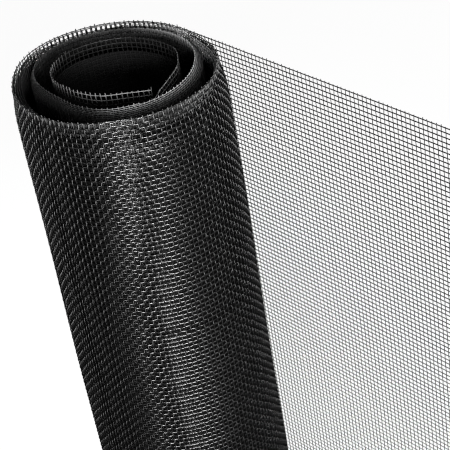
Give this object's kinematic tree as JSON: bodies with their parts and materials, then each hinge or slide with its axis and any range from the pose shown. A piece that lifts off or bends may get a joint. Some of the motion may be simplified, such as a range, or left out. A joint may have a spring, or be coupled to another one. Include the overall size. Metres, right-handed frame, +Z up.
{
  "type": "roll of insect screen",
  "caption": "Black woven insect screen wound into a hollow upright roll, with its loose end led off along a tangent as a flat upright panel.",
  "frame": {"origin": "middle of the footprint, on the surface that the roll and its loose end stand on", "axes": "+Z up along the roll's axis, +X to the right as the loose end leads off to the front right, -Y towards the viewer"},
  "size_m": [0.1276, 0.106, 0.61],
  "materials": {
    "wound_cloth": "black vinyl coated glass threads, plain open weave, slightly shiny, many turns over each other so that the wound body looks closed",
    "loose_cloth": "black vinyl coated glass threads, plain open weave about 1.5 mm apart both ways, clear to see through"
  },
  "bodies": {
    "root": {"wound_roll": "wound_cloth", "loose_end": "loose_cloth"}
  },
  "joints": []
}
